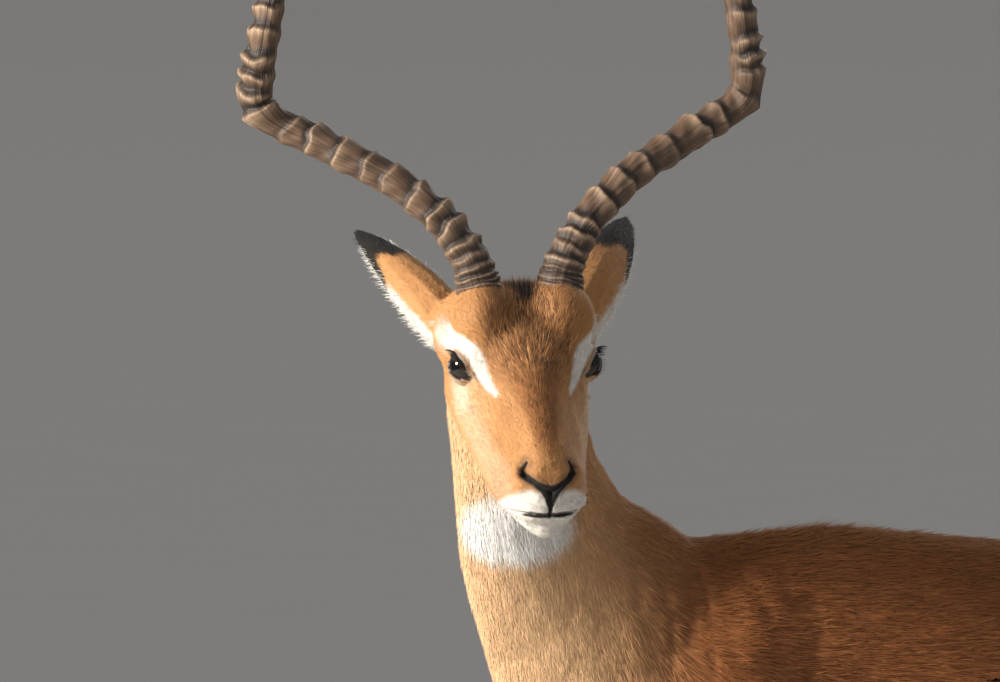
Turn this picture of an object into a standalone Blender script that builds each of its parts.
"""A life-size impala ram, standing, with its head turned over its left shoulder.

Metres, +Z up. The body points along -X and the head looks along -Y. The flesh is modelled whole, as
lofts joined by a voxel remesh, and is then parted with thin cuts into head, neck, trunk and legs.
Eyes, ears, horns, tail and hoof claws are pieces of their own, each clear of its neighbours by GAP.
"""

import math

import bmesh
import bpy
import numpy as np
from mathutils import Matrix, Vector

# Driving sizes of the animal.
GAP = 0.0003
VOXEL = 0.003
BODY_POINTS = 40
LEG_POINTS = 24

# The head: the middle of its eye line, where it looks, and how far its face slopes down.
EYE_LINE = Vector((-0.510, -0.155, 1.0465))
HEAD_HEADING = math.radians(265.0)
HEAD_TILT = math.radians(1.1)
FACE_SLOPE = math.radians(45.0)
EYE_SIDE = 0.0465
EYE_RADIUS = 0.0172

# The legs: how far a left foot stands forward of its pair, and where a leg ends and its hoof begins.
FORE_STAGGER = 0.022
HIND_STAGGER = 0.030
HOOF_FRONT_HEIGHT = 0.046
HOOF_HEEL_HEIGHT = 0.030

HORN_LENGTH_POINTS = 420
HORN_SIDES = 9

# Faces left on the flesh: its head, its neck, its trunk, and its four legs.
HEAD_FACES = 2030
NECK_FACES = 560
TRUNK_FACES = 1250
LEG_FACES = 1120

LEFT, RIGHT = -1, 1
SIDE_NAMES = {LEFT: "left", RIGHT: "right"}


# --- Axes of the head ---------------------------------------------------------------------------

UPRIGHT = Vector((0.0, 0.0, 1.0))
LOOK = Vector((math.cos(HEAD_HEADING), math.sin(HEAD_HEADING), 0.0))
LEVEL_LEFT = UPRIGHT.cross(LOOK)
HEAD_LEFT = LEVEL_LEFT * math.cos(HEAD_TILT) + UPRIGHT * math.sin(HEAD_TILT)
CROWN = UPRIGHT * math.cos(HEAD_TILT) - LEVEL_LEFT * math.sin(HEAD_TILT)
HEAD_FORWARD = LOOK * math.cos(FACE_SLOPE) - CROWN * math.sin(FACE_SLOPE)
HEAD_UP = LOOK * math.sin(FACE_SLOPE) + CROWN * math.cos(FACE_SLOPE)


HEAD_JOINT_NORMAL = (HEAD_UP * 0.98 - HEAD_FORWARD * 0.12).normalized()


def on_head(forward, left, up):
    """A place given along the face, to the animal's left and square to the face, from the eye line."""
    return EYE_LINE + HEAD_FORWARD * forward + HEAD_LEFT * left + HEAD_UP * up


HEAD_JOINT = on_head(-0.080, 0.0, -0.101)

# Where the neck leaves the trunk: from the withers to the breast.
NECK_ROOT = Vector((-0.395, -0.002, 0.803))
NECK_ROOT_NORMAL = Vector((-0.618, -0.02, 0.786)).normalized()


def beside_head(back, left, above):
    """A place given by its distance behind, left of and above the middle of the eye line."""
    return EYE_LINE - LOOK * back + HEAD_LEFT * left + CROWN * above


# --- General modelling helpers ------------------------------------------------------------------


def clear_scene():
    for obj in list(bpy.data.objects):
        bpy.data.objects.remove(obj)


def material(name, colour, roughness):
    made = bpy.data.materials.new(name)
    made.use_nodes = True
    shader = made.node_tree.nodes["Principled BSDF"]
    shader.inputs["Base Color"].default_value = (*colour, 1.0)
    shader.inputs["Roughness"].default_value = roughness
    shader.inputs["Metallic"].default_value = 0.0
    made.diffuse_color = (*colour, 1.0)
    return made


def collection(name):
    made = bpy.data.collections.new(name)
    bpy.context.scene.collection.children.link(made)
    return made


def new_object(name, mesh):
    made = bpy.data.objects.new(name, mesh)
    bpy.context.scene.collection.objects.link(made)
    return made


def make_only_selected(*objects):
    bpy.context.view_layer.update()
    bpy.ops.object.select_all(action="DESELECT")
    for obj in objects:
        obj.select_set(True)
    bpy.context.view_layer.objects.active = objects[0]


def apply_modifiers(obj):
    """Replaces the object's mesh with the one that its modifiers give."""
    graph = bpy.context.evaluated_depsgraph_get()
    mesh = bpy.data.meshes.new_from_object(obj.evaluated_get(graph))
    obj.modifiers.clear()
    obj.data = mesh
    return obj


def smooth_rows(rows, steps):
    """A smooth curve through rows of numbers, with this many steps to each span."""
    rows = np.array(rows, float)
    ends = np.vstack([2 * rows[0] - rows[1], rows, 2 * rows[-1] - rows[-2]])
    found = []
    for before, start, end, after in zip(ends, ends[1:], ends[2:], ends[3:]):
        for t in np.arange(steps) / steps:
            bend = (2 * before - 5 * start + 4 * end - after) * t**2
            twist = (3 * start - before - 3 * end + after) * t**3
            found.append((2 * start + (end - before) * t + bend + twist) / 2)
    found.append(rows[-1])
    return found


def outline(centre, across, up, width, above, below, tapers=(0.0, 0.0), power=2.2, count=BODY_POINTS):
    """A closed ring of points: an oval with its own height above and below the widest level.

    tapers narrow it towards the top and the bottom; power 2 is an ellipse and more is squarer.
    """
    points = []
    for i in range(count):
        turn = 2 * math.pi * i / count
        cos, sin = math.cos(turn), math.sin(turn)
        wide = width * math.copysign(abs(cos) ** (2 / power), cos)
        tall = (above if sin > 0 else below) * math.copysign(abs(sin) ** (2 / power), sin)
        wide *= 1 - (tapers[0] if sin > 0 else tapers[1]) * abs(sin) ** 1.5
        points.append(centre + across * wide + up * tall)
    return points


def loft(name, rings):
    """A closed skin over rings with the same number of points."""
    count = len(rings[0])
    mesh = bmesh.new()
    loops = [[mesh.verts.new(point) for point in ring] for ring in rings]
    for lower, upper in zip(loops, loops[1:]):
        for i in range(count):
            after = (i + 1) % count
            mesh.faces.new((lower[i], lower[after], upper[after], upper[i]))
    mesh.faces.new(loops[0])
    mesh.faces.new(loops[-1])
    bmesh.ops.recalc_face_normals(mesh, faces=mesh.faces)
    data = bpy.data.meshes.new(name)
    mesh.to_mesh(data)
    mesh.free()
    return new_object(name, data)


def ellipsoid(name, centre, radii, lean=0.0, roll=0.0, around=24):
    """A muscle as an egg shape, turned by these many degrees about Y and X."""
    rings = around * 2 // 3
    bpy.ops.mesh.primitive_uv_sphere_add(segments=around, ring_count=rings, radius=1.0, location=centre)
    made = bpy.context.object
    made.name = name
    made.scale = radii
    made.rotation_euler = (math.radians(roll), math.radians(lean), 0.0)
    bpy.ops.object.transform_apply(location=True, rotation=True, scale=True)
    return made


def pushed(points, centre, radius, move):
    """The points, with those near centre moved: fully there, and fading out over radius."""
    distance = np.linalg.norm(points - np.array(centre), axis=1)
    return points + np.exp(-((distance / radius) ** 2))[:, None] * np.array(move)


# --- Flesh: trunk, neck, head and legs ------------------------------------------------------------


def trunk_flesh():
    # Along the body: x, back line, belly line, half width, height of the widest level.
    stations = [
        (-0.478, 0.785, 0.700, 0.036, 0.745),
        (-0.455, 0.822, 0.655, 0.058, 0.735),
        (-0.410, 0.862, 0.603, 0.078, 0.725),
        (-0.350, 0.889, 0.572, 0.093, 0.715),
        (-0.285, 0.893, 0.562, 0.101, 0.700),
        (-0.200, 0.902, 0.559, 0.110, 0.690),
        (-0.100, 0.893, 0.548, 0.127, 0.695),
        (0.000, 0.883, 0.542, 0.140, 0.700),
        (0.100, 0.882, 0.552, 0.143, 0.710),
        (0.180, 0.889, 0.580, 0.133, 0.725),
        (0.260, 0.897, 0.617, 0.119, 0.745),
        (0.330, 0.893, 0.665, 0.106, 0.765),
        (0.390, 0.868, 0.705, 0.086, 0.780),
        (0.435, 0.832, 0.745, 0.055, 0.790),
        (0.452, 0.812, 0.768, 0.030, 0.790),
    ]
    rings = []
    for x, top, bottom, width, level in smooth_rows(stations, 4):
        centre = Vector((x, 0.0, level))
        rings.append(
            outline(centre, Vector((0, 1, 0)), UPRIGHT, width, top - level, level - bottom, (0.42, 0.30))
        )
    return loft("trunk_flesh", rings)


def neck_flesh():
    # Up the neck: x, y, z, the way its nape faces in degrees, half depth, half width.
    stations = [
        (-0.356, 0.000, 0.750, 0, 0.134, 0.079),
        (-0.408, 0.000, 0.825, 3, 0.108, 0.070),
        (-0.448, -0.010, 0.880, 15, 0.086, 0.064),
        (-0.469, -0.022, 0.930, 33, 0.075, 0.061),
        (-0.482, -0.035, 0.978, 50, 0.068, 0.060),
        (-0.492, -0.050, 1.024, 67, 0.064, 0.060),
        (-0.496, -0.066, 1.060, 80, 0.060, 0.053),
        (-0.503, -0.084, 1.086, 85, 0.050, 0.046),
    ]
    rows = smooth_rows(stations, 5)
    rings = []
    for i, (x, y, z, facing, depth, width) in enumerate(rows):
        before, after = rows[max(i - 1, 0)], rows[min(i + 1, len(rows) - 1)]
        along = Vector((after - before)[:3]).normalized()
        nape = Vector((math.cos(math.radians(facing)), math.sin(math.radians(facing)), 0.0))
        nape = (nape - along * nape.dot(along)).normalized()
        across = along.cross(nape)
        rings.append(outline(Vector((x, y, z)), across, nape, width, depth, depth, (0.18, 0.10)))
    return loft("neck_flesh", rings)


def head_flesh():
    # Along the face from the nape to the nose: place, top, underside, half width, widest level, and
    # how much it narrows to the top and to the underside.
    stations = [
        (-0.118, -0.024, -0.078, 0.036, -0.045, 0.10, 0.10),
        (-0.092, 0.006, -0.091, 0.047, -0.036, 0.12, 0.20),
        (-0.066, 0.032, -0.098, 0.0535, -0.040, 0.10, 0.26),
        (-0.040, 0.042, -0.098, 0.0585, -0.045, 0.08, 0.30),
        (-0.012, 0.038, -0.094, 0.0600, -0.046, 0.08, 0.34),
        (0.015, 0.0335, -0.089, 0.0580, -0.046, 0.16, 0.38),
        (0.042, 0.0320, -0.082, 0.0530, -0.045, 0.30, 0.38),
        (0.070, 0.0310, -0.0735, 0.0475, -0.043, 0.40, 0.34),
        (0.098, 0.0295, -0.0655, 0.0430, -0.038, 0.40, 0.38),
        (0.122, 0.0270, -0.0590, 0.0395, -0.030, 0.36, 0.42),
        (0.139, 0.0215, -0.0530, 0.0340, -0.023, 0.28, 0.42),
        (0.151, 0.0130, -0.0480, 0.0275, -0.018, 0.20, 0.34),
        (0.160, 0.0020, -0.0410, 0.0200, -0.020, 0.12, 0.15),
        (0.1645, -0.0080, -0.0330, 0.0110, -0.020, 0.05, 0.05),
    ]
    rings = []
    for place, top, bottom, width, level, to_top, to_bottom in smooth_rows(stations, 5):
        centre = Vector((place, 0.0, level))
        across, up = Vector((0, 1, 0)), Vector((0, 0, 1))
        tapers = (to_top, to_bottom)
        rings.append(outline(centre, across, up, width, top - level, level - bottom, tapers, 2.5, 56))
    made = loft("head_flesh", rings)
    points = np.array([vertex.co for vertex in made.data.vertices])
    for vertex, (forward, left, up) in zip(made.data.vertices, sculpted_head(points)):
        vertex.co = on_head(forward, left, up)
    return made


def sculpted_head(points):
    """The head's brows, lids, cheeks, muzzle, nostrils and mouth, pushed out of the plain loft."""
    # Centre (forward, out to the side, up), radius, and move in the same three directions.
    forms = [
        ((-0.036, 0.050, 0.006), 0.014, (0.000, -0.003, 0.000)),  # hollow of the temple
        ((0.044, 0.036, -0.002), 0.018, (0.000, -0.003, 0.000)),  # hollow before the eye
        ((-0.016, 0.056, -0.058), 0.026, (0.000, 0.002, 0.000)),  # muscle of the jaw
        ((0.128, 0.024, 0.000), 0.012, (0.000, 0.003, 0.001)),  # wing of the nostril
        ((0.140, 0.031, -0.022), 0.014, (0.001, 0.002, 0.000)),  # swell of the upper lip
        ((0.148, 0.0150, 0.002), 0.0055, (-0.006, -0.001, -0.001)),  # nostril
        ((0.132, 0.0230, 0.000), 0.0050, (-0.001, -0.005, -0.001)),  # nostril's slit
    ]
    for centre, radius, move in forms:
        for side in (LEFT, RIGHT):
            flip = np.array((1, side, 1))
            points = pushed(points, centre * flip, radius, move * flip)
    points = pushed(points, (0.152, 0.0, -0.046), 0.014, (0.004, 0.0, 0.000))  # chin
    mouth = [
        (0.168, 0.000, -0.0260),
        (0.162, 0.016, -0.0275),
        (0.146, 0.030, -0.0330),
        (0.122, 0.038, -0.0430),
    ]
    for forward, out, up in smooth_rows(mouth, 3):
        for side in (LEFT, RIGHT):
            points = pushed(points, (forward, side * out, up), 0.0042, (-0.0016, -side * 0.0022, 0.0))
    return points


def leg_flesh(name, side, stations, stagger):
    """One leg from rings level with the ground: height, front, back, half width, distance out."""
    top = stations[0][0]
    rings = []
    for height, front, back, width, out in smooth_rows(stations, 3):
        shift = side * stagger / 2 * (1 - min(height / top, 1.0))
        centre = Vector(((front + back) / 2 + shift, side * out, height))
        reach = (back - front) / 2
        across, ahead = Vector((0, 1, 0)), Vector((-1, 0, 0))
        rings.append(outline(centre, across, ahead, width, reach, reach, power=2.1, count=LEG_POINTS))
    return loft(name, rings)


FORELEG = [
    (0.680, -0.400, -0.225, 0.040, 0.068),
    (0.630, -0.385, -0.208, 0.040, 0.078),
    (0.590, -0.362, -0.205, 0.037, 0.083),
    (0.550, -0.338, -0.222, 0.033, 0.084),
    (0.500, -0.317, -0.234, 0.0285, 0.082),
    (0.430, -0.304, -0.243, 0.0245, 0.079),
    (0.370, -0.298, -0.251, 0.0215, 0.077),
    (0.330, -0.299, -0.252, 0.0225, 0.076),
    (0.300, -0.300, -0.253, 0.0225, 0.076),
    (0.270, -0.295, -0.256, 0.0185, 0.075),
    (0.235, -0.2885, -0.261, 0.0145, 0.0745),
    (0.170, -0.2865, -0.2615, 0.0132, 0.074),
    (0.125, -0.287, -0.260, 0.0145, 0.074),
    (0.095, -0.290, -0.255, 0.0190, 0.074),
    (0.070, -0.292, -0.260, 0.0175, 0.074),
    (0.050, -0.299, -0.262, 0.0195, 0.074),
    (0.026, -0.306, -0.258, 0.0200, 0.074),
]

HINDLEG = [
    (0.800, 0.195, 0.425, 0.050, 0.062),
    (0.750, 0.172, 0.450, 0.058, 0.074),
    (0.700, 0.160, 0.455, 0.058, 0.083),
    (0.650, 0.158, 0.448, 0.054, 0.088),
    (0.600, 0.170, 0.432, 0.047, 0.090),
    (0.550, 0.202, 0.417, 0.038, 0.090),
    (0.500, 0.242, 0.411, 0.0315, 0.088),
    (0.450, 0.284, 0.417, 0.0265, 0.086),
    (0.400, 0.325, 0.434, 0.0225, 0.084),
    (0.362, 0.355, 0.452, 0.0205, 0.083),
    (0.335, 0.373, 0.456, 0.0215, 0.082),
    (0.305, 0.384, 0.448, 0.0225, 0.082),
    (0.270, 0.391, 0.436, 0.0190, 0.081),
    (0.230, 0.394, 0.427, 0.0152, 0.080),
    (0.170, 0.3925, 0.4215, 0.0140, 0.080),
    (0.125, 0.390, 0.4200, 0.0148, 0.079),
    (0.095, 0.386, 0.4230, 0.0190, 0.079),
    (0.070, 0.380, 0.4150, 0.0172, 0.079),
    (0.050, 0.371, 0.4100, 0.0192, 0.079),
    (0.026, 0.363, 0.4120, 0.0196, 0.079),
]


def head_lobe(name, side, centre, radii):
    """An egg shape on the head: its centre and its radii are forward, out to the side, and up."""
    bpy.ops.mesh.primitive_uv_sphere_add(segments=24, ring_count=16, radius=1.0)
    made = bpy.context.object
    made.name = f"{name}_{SIDE_NAMES[side]}"
    for vertex in made.data.vertices:
        forward, out, up = (at + reach * share for at, reach, share in zip(centre, radii, vertex.co))
        vertex.co = on_head(forward, -side * out, up)
    return outward(made)


def muscles():
    made = []
    for side in (LEFT, RIGHT):
        name = SIDE_NAMES[side]
        made.append(head_lobe("orbit", side, (-0.004, 0.0405, 0.001), (0.0280, 0.0212, 0.0245)))
        made.append(head_lobe("ear_root", side, (-0.058, 0.0420, -0.008), (0.0320, 0.0230, 0.0300)))
        made.append(head_lobe("ear_base", side, (-0.050, 0.0560, -0.0140), (0.0250, 0.0155, 0.0300)))
        made.append(head_lobe("horn_root", side, (-0.0300, 0.0330, 0.0155), (0.0350, 0.0275, 0.0340)))
        shoulder = (-0.276, side * 0.071, 0.735)
        upper_arm = (-0.270, side * 0.083, 0.640)
        haunch = (0.305, side * 0.074, 0.745)
        made.append(ellipsoid(f"shoulder_{name}", shoulder, (0.085, 0.033, 0.130), 18, side * 14))
        made.append(ellipsoid(f"upper_arm_{name}", upper_arm, (0.085, 0.034, 0.070), -30))
        made.append(ellipsoid(f"haunch_{name}", haunch, (0.120, 0.048, 0.120), -20, side * 10))
    made.append(ellipsoid("sheath", (0.120, 0.0, 0.562), (0.055, 0.015, 0.018), -12))
    return made


def weight_by_place(obj, name, weight):
    """A vertex group with the weight that a rule gives at each vertex's place."""
    group = obj.vertex_groups.new(name=name)
    for vertex in obj.data.vertices:
        group.add([vertex.index], weight(vertex.co), "REPLACE")


def fade(value, start, end):
    """0 before start and 1 after end, turning smoothly between them."""
    t = min(max((value - start) / (end - start), 0.0), 1.0)
    return t * t * (3 - 2 * t)


def head_nearness(place):
    """1 on the head and 0 on the neck, by how far forward of the joint behind the jaw a place lies."""
    if (place - EYE_LINE).length > 0.24:
        return 0.0
    return fade((place - HEAD_JOINT).dot(HEAD_JOINT_NORMAL), -0.03, -0.005)


def on_muzzle(place):
    return fade((place - EYE_LINE).dot(HEAD_FORWARD), 0.06, 0.10)


def on_neck(place):
    return (place - NECK_ROOT).dot(NECK_ROOT_NORMAL) > 0


def whole_flesh():
    """Trunk, neck, head and legs as one skin, its joints softened and its faces few."""
    pieces = [trunk_flesh(), neck_flesh(), head_flesh(), *muscles()]
    for side in (LEFT, RIGHT):
        name = SIDE_NAMES[side]
        pieces.append(leg_flesh(f"foreleg_flesh_{name}", side, FORELEG, FORE_STAGGER))
        pieces.append(leg_flesh(f"hindleg_flesh_{name}", side, HINDLEG, HIND_STAGGER))
    make_only_selected(*pieces)
    bpy.ops.object.join()
    flesh = pieces[0]
    flesh.name = "flesh"
    remesh = flesh.modifiers.new("one_skin", "REMESH")
    remesh.mode = "VOXEL"
    remesh.voxel_size = VOXEL
    apply_modifiers(flesh)
    weight_by_place(flesh, "broad", lambda at: fade(at.z, 0.46, 0.60) * (1 - head_nearness(at)))
    weight_by_place(flesh, "skull", lambda at: head_nearness(at) * (1 - on_muzzle(at)))
    broad = flesh.modifiers.new("soften_joints", "SMOOTH")
    broad.factor = 0.6
    broad.iterations = 60
    broad.vertex_group = "broad"
    skull = flesh.modifiers.new("soften_skull", "SMOOTH")
    skull.factor = 0.5
    skull.iterations = 42
    skull.vertex_group = "skull"
    fine = flesh.modifiers.new("soften_voxels", "SMOOTH")
    fine.factor = 0.5
    fine.iterations = 4
    apply_modifiers(flesh)
    thin_out(flesh, lambda at: head_nearness(at) > 0.5, HEAD_FACES)
    thin_out(flesh, lambda at: head_nearness(at) <= 0.5 and on_neck(at), NECK_FACES)
    thin_out(flesh, lambda at: at.z > 0.5 and not on_neck(at), TRUNK_FACES)
    thin_out(flesh, lambda at: at.z <= 0.5, LEG_FACES)
    return flesh


def thin_out(obj, chosen, faces):
    """Leaves about this many faces in one region, where its shape needs them most."""
    make_only_selected(obj)
    bpy.ops.object.mode_set(mode="EDIT")
    bpy.ops.mesh.select_mode(type="VERT")
    bpy.ops.mesh.select_all(action="SELECT")
    bpy.ops.mesh.quads_convert_to_tris()
    bpy.ops.mesh.select_all(action="DESELECT")
    bpy.ops.object.mode_set(mode="OBJECT")
    for vertex in obj.data.vertices:
        vertex.select = chosen(vertex.co)
    bpy.ops.object.mode_set(mode="EDIT")
    bpy.ops.object.mode_set(mode="OBJECT")
    found = sum(face.select for face in obj.data.polygons)
    bpy.ops.object.mode_set(mode="EDIT")
    bpy.ops.mesh.decimate(ratio=faces / found)
    bpy.ops.object.mode_set(mode="OBJECT")


# --- Thin cuts ------------------------------------------------------------------------------------


def half_of(obj, name, point, normal):
    """A copy of a closed mesh, keeping only what lies behind the plane, with the cut filled flat."""
    mesh = bmesh.new()
    mesh.from_mesh(obj.data)
    geometry = mesh.verts[:] + mesh.edges[:] + mesh.faces[:]
    bmesh.ops.bisect_plane(mesh, geom=geometry, plane_co=point, plane_no=normal, clear_outer=True)
    bmesh.ops.holes_fill(mesh, edges=[edge for edge in mesh.edges if edge.is_boundary])
    bmesh.ops.recalc_face_normals(mesh, faces=mesh.faces)
    data = bpy.data.meshes.new(name)
    mesh.to_mesh(data)
    mesh.free()
    return new_object(name, data)


def split(obj, names, point, normal):
    """Two pieces of a closed mesh, on either side of a plane, half a gap off it each."""
    normal = Vector(normal).normalized()
    behind = half_of(obj, names[0], point - normal * GAP / 2, normal)
    ahead = half_of(obj, names[1], point + normal * GAP / 2, -normal)
    bpy.data.objects.remove(obj)
    return behind, ahead


def boolean(obj, operation, other):
    cut = obj.modifiers.new(operation.lower(), "BOOLEAN")
    cut.operation = operation
    cut.solver = "EXACT"
    cut.object = other
    apply_modifiers(obj)


def leg_block(name, side, low, high):
    """A cutter for one leg: low and high are corners (x, z) of its slanting underside and top."""
    (front_x, front_low, front_high), (back_x, back_low, back_high) = low, high
    bpy.ops.mesh.primitive_cube_add(size=2.0)
    made = bpy.context.object
    made.name = name
    for vertex in made.data.vertices:
        ahead, inner, under = vertex.co.x < 0, vertex.co.y * side < 0, vertex.co.z < 0
        vertex.co.x = front_x if ahead else back_x
        vertex.co.y = side * (0.0 if inner else 0.30)
        heights = (front_low, front_high) if ahead else (back_low, back_high)
        vertex.co.z = heights[0] if under else heights[1]
    mesh = bmesh.new()
    mesh.from_mesh(made.data)
    bmesh.ops.recalc_face_normals(mesh, faces=mesh.faces)
    mesh.to_mesh(made.data)
    mesh.free()
    return made


def coronet_height(along):
    """Height of the top of a hoof, this far behind the middle of the foot."""
    slope = (HOOF_HEEL_HEIGHT - HOOF_FRONT_HEIGHT) / 0.050
    return (HOOF_FRONT_HEIGHT + HOOF_HEEL_HEIGHT) / 2 + slope * along


# The free part of each leg, as (x, top of the leg) before and behind it, and the foot's middle.
FORE_REACH = ((-0.62, 0.546), (-0.17, 0.546))
HIND_REACH = ((0.02, 0.500), (0.62, 0.748))
FORE_FOOT_X = -0.281
HIND_FOOT_X = 0.389
FORE_FOOT_Y = 0.074
HIND_FOOT_Y = 0.079


def part_legs(body):
    """Cuts the four legs off the body, and returns them by name."""
    legs = {}
    for pair, reach, foot_x, stagger in (
        ("foreleg", FORE_REACH, FORE_FOOT_X, FORE_STAGGER),
        ("hindleg", HIND_REACH, HIND_FOOT_X, HIND_STAGGER),
    ):
        for side in (LEFT, RIGHT):
            name = f"{pair}_{SIDE_NAMES[side]}"
            middle = foot_x + side * stagger / 2
            corners = [(x, coronet_height(x - middle), top) for x, top in reach]
            block = leg_block("leg_block", side, *corners)
            leg = new_object(name, body.data.copy())
            boolean(leg, "INTERSECT", block)
            legs[name] = keep_largest(leg)
            bpy.data.objects.remove(block)
            wider = [(x, -0.05, top + GAP) for x, top in reach]
            block = leg_block("leg_room", side, *wider)
            for vertex in block.data.vertices:
                vertex.co.y -= side * 0.01 if abs(vertex.co.y) < 0.001 else 0.0
            boolean(body, "DIFFERENCE", block)
            bpy.data.objects.remove(block)
    return legs


def inflated(obj, name, by=GAP):
    """A copy a little fatter than the object, which cuts a neighbour clear of it."""
    made = new_object(name, obj.data.copy())
    swell = made.modifiers.new("swell", "DISPLACE")
    swell.strength = by
    swell.mid_level = 0.0
    return apply_modifiers(made)


def keep_largest(obj):
    """Removes the crumbs that a cut can leave, keeping the largest connected piece."""
    make_only_selected(obj)
    bpy.ops.object.mode_set(mode="EDIT")
    bpy.ops.mesh.select_all(action="SELECT")
    bpy.ops.mesh.separate(type="LOOSE")
    bpy.ops.object.mode_set(mode="OBJECT")
    found = sorted(bpy.context.selected_objects, key=lambda made: len(made.data.polygons))
    largest, name = found[-1], obj.name
    for crumb in found[:-1]:
        bpy.data.objects.remove(crumb)
    largest.name = name
    return largest


# --- Eyes, ears, horns ------------------------------------------------------------------------------


def eyeball(side, radius, name):
    bpy.ops.mesh.primitive_uv_sphere_add(
        segments=14, ring_count=8, radius=radius, location=on_head(0.0, -side * EYE_SIDE, 0.0)
    )
    made = bpy.context.object
    made.name = name
    bpy.ops.object.transform_apply(location=True)
    return made


EAR_LENGTH = 0.158
EAR_WALL = 0.0042
# How much narrower each ear is at its tip than its stations say: the left one is held more open.
EAR_SLIM = {RIGHT: 0.38, LEFT: -0.10}

# Where each ear points, as shares behind, to the animal's left and above; and where its open side
# faces, in the same way. The ears are swung back, so that their backs look forward.
EAR_AIMS = {
    RIGHT: ((0.77, -0.41, 0.47), (0.62, 0.26, -0.74)),
    LEFT: ((0.74, 0.45, 0.51), (0.64, -0.12, -0.76)),
}


def ear_shell(side):
    """A cupped leaf: a rolled stalk that opens to a blade and closes to a rounded tip."""
    pointing, opening = (Vector(aim) for aim in EAR_AIMS[side])
    pointing = (-LOOK * pointing.x + HEAD_LEFT * pointing.y + CROWN * pointing.z).normalized()
    opening = -LOOK * opening.x + HEAD_LEFT * opening.y + CROWN * opening.z
    opening = (opening - pointing * opening.dot(pointing)).normalized()
    across = pointing.cross(opening)
    root = on_head(-0.058, -side * 0.049, -0.008)
    # Along the ear: share of its length, half width of the blade, and how far its edges curl.
    stations = [
        (0.00, 0.0190, 150),
        (0.15, 0.0220, 128),
        (0.32, 0.0240, 100),
        (0.50, 0.0235, 84),
        (0.68, 0.0200, 70),
        (0.84, 0.0142, 58),
        (0.94, 0.0085, 48),
        (1.00, 0.0032, 40),
    ]
    mesh = bmesh.new()
    rows = []
    for share, width, curl in smooth_rows(stations, 2):
        width *= 1 - EAR_SLIM[side] * share
        half = math.radians(curl)
        bend = width / math.sin(min(half, math.pi / 2))
        sag = 0.012 * math.sin(math.pi * share)
        middle = root + pointing * (EAR_LENGTH * share) - opening * sag
        row = []
        for step in np.linspace(-1, 1, 7):
            turn = half * step
            place = middle + across * (bend * math.sin(turn)) + opening * (bend * (1 - math.cos(turn)))
            row.append(mesh.verts.new(place))
        rows.append(row)
    for lower, upper in zip(rows, rows[1:]):
        for i in range(len(lower) - 1):
            mesh.faces.new((lower[i], lower[i + 1], upper[i + 1], upper[i]))
    data = bpy.data.meshes.new("ear")
    mesh.to_mesh(data)
    mesh.free()
    ear = new_object(f"ear_{SIDE_NAMES[side]}", data)
    wall = ear.modifiers.new("wall", "SOLIDIFY")
    wall.thickness = EAR_WALL
    wall.offset = 0.0
    apply_modifiers(ear)
    # The stalk's own gristle fills the roll at its foot.
    foot = root + pointing * 0.006
    plug = ellipsoid(f"stalk_{SIDE_NAMES[side]}", foot, (0.0193, 0.0193, 0.0193), around=12)
    boolean(outward(ear), "UNION", plug)
    bpy.data.objects.remove(plug)
    return outward(ear)


def outward(obj):
    mesh = bmesh.new()
    mesh.from_mesh(obj.data)
    bmesh.ops.recalc_face_normals(mesh, faces=mesh.faces)
    mesh.to_mesh(obj.data)
    mesh.free()
    return obj


# The horn's path: behind, out from and above the middle of the eye line.
HORN_PATH = [
    (0.010, 0.0310, 0.0420),
    (0.0195, 0.0354, 0.0677),
    (0.0215, 0.0420, 0.0882),
    (0.0245, 0.0535, 0.1090),
    (0.031, 0.0706, 0.1295),
    (0.046, 0.1022, 0.1565),
    (0.062, 0.1347, 0.1753),
    (0.077, 0.1650, 0.1921),
    (0.084, 0.1860, 0.2030),
    (0.087, 0.2020, 0.2130),
    (0.086, 0.2115, 0.2265),
    (0.082, 0.2125, 0.2410),
    (0.078, 0.2107, 0.2563),
    (0.073, 0.2082, 0.2735),
    (0.069, 0.2052, 0.2905),
    (0.067, 0.2020, 0.3075),
    (0.066, 0.1950, 0.3400),
    (0.066, 0.1840, 0.3800),
    (0.067, 0.1710, 0.4200),
    (0.069, 0.1585, 0.4580),
    (0.072, 0.1480, 0.4920),
]
# Distance along the horn, and there its radius, its ridges' height and the distance between them.
HORN_ALONG = (0.00, 0.035, 0.055, 0.08, 0.16, 0.25, 0.29, 0.32, 0.37, 0.44, 0.50, 0.57)
HORN_RADIUS = (0.0210, 0.0182, 0.0158, 0.0140, 0.0132, 0.0128, 0.0134, 0.0128, 0.0112, 0.0086, 0.0060, 0.0014)
RIDGE_HEIGHT = (0.0010, 0.0018, 0.0022, 0.0032, 0.0036, 0.0034, 0.0040, 0.0034, 0.0026, 0.0012, 0.0, 0.0)
RIDGE_SPACING = (0.011, 0.011, 0.012, 0.026, 0.030, 0.026, 0.017, 0.018, 0.022, 0.027, 0.04, 0.04)
RIDGES_END = 0.46


def horn_stations():
    """Distances along the horn that its shape needs: two for each ridge, and a few to the tip."""
    along, found = 0.010, [0.0]
    while along < RIDGES_END:
        spacing = float(np.interp(along, HORN_ALONG, RIDGE_SPACING))
        ridge = float(np.interp(along, HORN_ALONG, RIDGE_HEIGHT))
        found += [(along - spacing * 0.42, 0.0), (along, ridge)]
        along += spacing
    return [(0.0, 0.0), *found[1:], (0.49, 0.0), (0.52, 0.0), (0.545, 0.0)]


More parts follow.
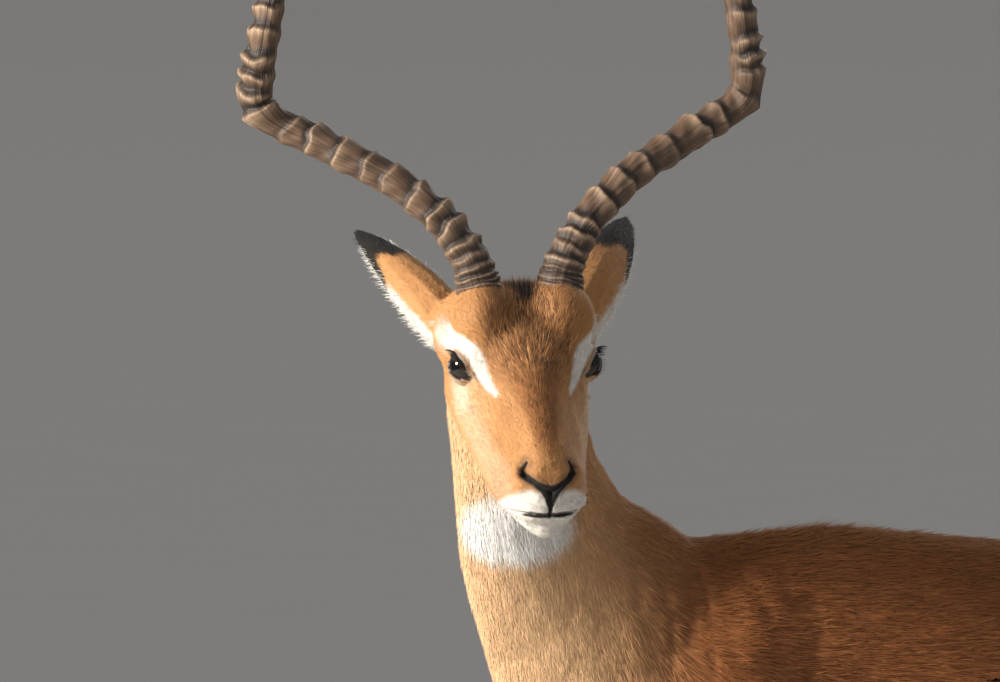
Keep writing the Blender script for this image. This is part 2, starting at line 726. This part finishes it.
def horn(side):
    places = [Vector(place) for place in smooth_rows(HORN_PATH, HORN_LENGTH_POINTS // len(HORN_PATH))]
    steps = [(b - a).length for a, b in zip(places, places[1:])]
    travelled = np.concatenate([[0.0], np.cumsum(steps)])
    columns = np.array(places)

    def at(distance):
        back, out, above = (np.interp(distance, travelled, columns[:, i]) for i in range(3))
        return beside_head(back, -side * out, above)

    rings = []
    total = travelled[-1]
    stations = [station for station in horn_stations() if station[0] < total - 0.01]
    for distance, ridge in [*stations, (total, 0.0)]:
        centre = at(distance)
        along = (at(min(distance + 0.004, total)) - at(max(distance - 0.004, 0.0))).normalized()
        front = LOOK - along * LOOK.dot(along)
        front.normalize()
        across = along.cross(front)
        radius = float(np.interp(distance, HORN_ALONG, HORN_RADIUS))
        ring = []
        for i in range(HORN_SIDES):
            turn = 2 * math.pi * i / HORN_SIDES
            direction = front * math.cos(turn) + across * math.sin(turn)
            # The ridges stand out most on the front and upper side and, past the bend, on the outside.
            past = fade(distance, 0.24, 0.29)
            proud = (LOOK + CROWN * 0.6) * (1 - past) + (LOOK * 0.6 - HEAD_LEFT * side) * past
            reach = 0.25 + 0.75 * max(0.0, direction.dot(proud.normalized()))
            ring.append(centre + direction * (radius + ridge * reach))
        rings.append(ring)
    return loft(f"horn_{SIDE_NAMES[side]}", rings)


# --- Tail and hooves ------------------------------------------------------------------------------


def tail():
    # Down the tail: x, z, half thickness, half width.
    stations = [
        (0.412, 0.852, 0.0170, 0.0180),
        (0.444, 0.830, 0.0145, 0.0165),
        (0.464, 0.795, 0.0115, 0.0160),
        (0.474, 0.745, 0.0105, 0.0180),
        (0.478, 0.690, 0.0105, 0.0210),
        (0.479, 0.635, 0.0100, 0.0210),
        (0.477, 0.590, 0.0075, 0.0155),
        (0.475, 0.562, 0.0030, 0.0050),
    ]
    rows = smooth_rows(stations, 2)
    rings = []
    for i, (x, z, thick, wide) in enumerate(rows):
        before, after = rows[max(i - 1, 0)], rows[min(i + 1, len(rows) - 1)]
        along = Vector((after[0] - before[0], 0.0, after[1] - before[1])).normalized()
        outer = along.cross(Vector((0, 1, 0)))
        centre = Vector((x, 0.0, z))
        rings.append(outline(centre, Vector((0, 1, 0)), outer, wide, thick, thick, power=2.0, count=8))
    return loft("tail", rings)


def claw_outline(length, width, toe, height):
    """Half a hoof seen from above: a straight inner edge, a rounded outer one and a narrow toe."""
    inner = 0.0016
    points = []
    for share in np.linspace(0.0, 1.0, 7):
        bulge = math.sin(math.pi * share**0.72) ** 0.62 if 0 < share < 1 else 0.0
        points.append((toe + length * share, inner + 0.0035 + (width - 0.0035) * bulge, height))
    points.append((toe + length * 0.94, inner, height))
    points.append((toe + length * 0.05, inner, height))
    return points


def claw(name, foot, side, outer):
    """One claw of a cloven hoof; outer is 1 for the outer claw and -1 for the inner one."""
    # Rising from the ground: share of the height, length, width, and how far the toe reaches.
    levels = [
        (0.00, 0.0600, 0.0185, -0.0350),
        (0.22, 0.0590, 0.0190, -0.0330),
        (0.62, 0.0520, 0.0182, -0.0275),
        (1.00, 0.0440, 0.0168, -0.0218),
    ]
    rings = []
    for share, length, width, toe in levels:
        ring = []
        for along, out, _ in claw_outline(length, width, toe, 0.0):
            height = share * (coronet_height(along) - GAP)
            ring.append(Vector((foot[0] + along, foot[1] + side * outer * out, height)))
        rings.append(ring)
    return loft(name, rings)


def hooves():
    made = []
    for pair, foot_x, foot_y, stagger in (
        ("fore", FORE_FOOT_X, FORE_FOOT_Y, FORE_STAGGER),
        ("hind", HIND_FOOT_X, HIND_FOOT_Y, HIND_STAGGER),
    ):
        for side in (LEFT, RIGHT):
            foot = (foot_x + side * stagger / 2, side * foot_y)
            for outer, where in ((1, "outer"), (-1, "inner")):
                made.append(claw(f"hoof_{pair}_{SIDE_NAMES[side]}_{where}", foot, side, outer))
    return made


# --- The whole animal ---------------------------------------------------------------------------------


def build():
    clear_scene()
    impala = collection("impala")

    flesh = whole_flesh()
    body, fore = split(flesh, ("body", "fore"), NECK_ROOT, NECK_ROOT_NORMAL)
    neck, head = split(fore, ("neck", "head"), HEAD_JOINT, HEAD_JOINT_NORMAL)
    legs = part_legs(body)
    trunk = keep_largest(body)
    trunk.name = "trunk"

    eyes = []
    for side in (LEFT, RIGHT):
        socket = eyeball(side, EYE_RADIUS + GAP, "socket")
        boolean(head, "DIFFERENCE", socket)
        bpy.data.objects.remove(socket)
        eyes.append(eyeball(side, EYE_RADIUS, f"eye_{SIDE_NAMES[side]}"))

    head_room = inflated(head, "head_room")
    neck_room = inflated(neck, "neck_room")
    growths = []
    for side in (LEFT, RIGHT):
        ear, one_horn = ear_shell(side), horn(side)
        for piece in (ear, one_horn):
            boolean(piece, "DIFFERENCE", head_room)
            boolean(piece, "DIFFERENCE", neck_room)
            growths.append(keep_largest(piece))
    ears, horns = growths[0::2], growths[1::2]

    brush = tail()
    trunk_room = inflated(trunk, "trunk_room")
    boolean(brush, "DIFFERENCE", trunk_room)
    brush = keep_largest(brush)
    for room in (head_room, neck_room, trunk_room):
        bpy.data.objects.remove(room)

    coat = material("coat", (0.42, 0.21, 0.09), 0.75)
    horn_stuff = material("horn", (0.16, 0.12, 0.09), 0.55)
    eye_stuff = material("eye", (0.02, 0.012, 0.008), 0.08)
    hoof_stuff = material("hoof", (0.03, 0.027, 0.025), 0.45)
    stance = bpy.data.objects.new("stance", None)
    impala.objects.link(stance)
    for stuff, pieces in (
        (coat, [head, neck, trunk, brush, *ears, *legs.values()]),
        (horn_stuff, horns),
        (eye_stuff, eyes),
        (hoof_stuff, hooves()),
    ):
        for piece in pieces:
            piece.data.materials.clear()
            piece.data.materials.append(stuff)
            for held in piece.users_collection:
                held.objects.unlink(piece)
            impala.objects.link(piece)
            piece.parent = stance
    centre_over_feet(stance)


def centre_over_feet(stance):
    """Moves the whole animal so that the middle of its box is over the origin."""
    corners = []
    for piece in stance.children:
        corners += [vertex.co for vertex in piece.data.vertices]
    low = np.array(corners).min(axis=0)
    high = np.array(corners).max(axis=0)
    middle = (low + high) / 2
    stance.location = (-middle[0], -middle[1], 0.0)


build()
